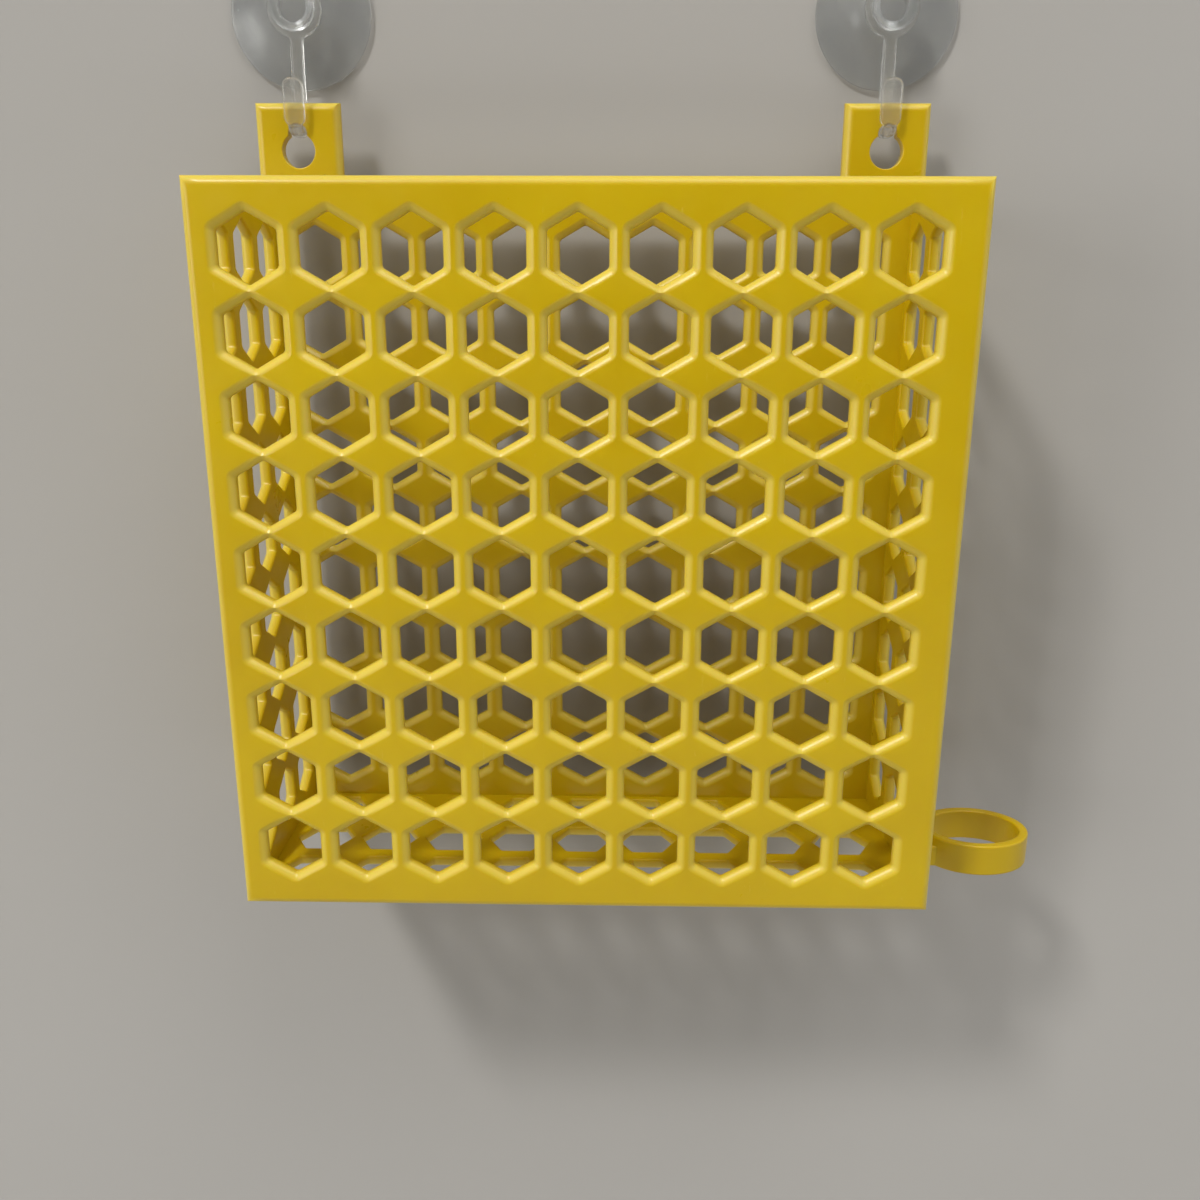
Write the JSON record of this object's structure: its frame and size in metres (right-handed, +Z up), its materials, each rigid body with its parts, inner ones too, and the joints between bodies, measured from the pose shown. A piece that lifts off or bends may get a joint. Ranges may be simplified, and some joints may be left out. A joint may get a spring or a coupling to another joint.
{
  "type": "bath toy organizer",
  "caption": "Wall-hung honeycomb basket for bath toys, with two keyhole tabs on clear hooks and suction cups and a side ring for a rod.",
  "frame": {"origin": "on the wall plane, midway between the centres of the two suction cups", "axes": "+X to the right seen from the front, +Y into the wall, +Z up"},
  "size_m": [0.248, 0.0795, 0.2744],
  "materials": {
    "yellow_plastic": "satin moulded plastic, mustard yellow",
    "clear_vinyl": "soft clear vinyl, slightly cloudy",
    "clear_plastic": "clear moulded plastic"
  },
  "bodies": {
    "suction_cups": {"left_suction_cup": "clear_vinyl", "right_suction_cup": "clear_vinyl"},
    "left_hook": {"left_hook": "clear_plastic"},
    "right_hook": {"right_hook": "clear_plastic"},
    "basket": {"front_panel": "yellow_plastic", "back_panel": "yellow_plastic", "left_side_panel": "yellow_plastic", "right_side_panel": "yellow_plastic", "floor_panel": "yellow_plastic", "left_hanger_tab": "yellow_plastic", "right_hanger_tab": "yellow_plastic", "rod_ring": "yellow_plastic"}
  },
  "joints": [
    {"name": "basket_lift", "type": "slide", "parent": "suction_cups", "child": "basket", "axis": [0, 0, 1], "range_m": [0, 0.0084]},
    {"name": "left_hook_swivel", "type": "hinge", "parent": "suction_cups", "child": "left_hook", "pos_m": [-0.0874, -0.008, 0], "axis": [0, 1, 0], "range_deg": [-0.7, 0.7]},
    {"name": "right_hook_swivel", "type": "hinge", "parent": "suction_cups", "child": "right_hook", "pos_m": [0.0874, -0.008, 0], "axis": [0, 1, 0], "range_deg": [-0.7, 0.7]}
  ]
}
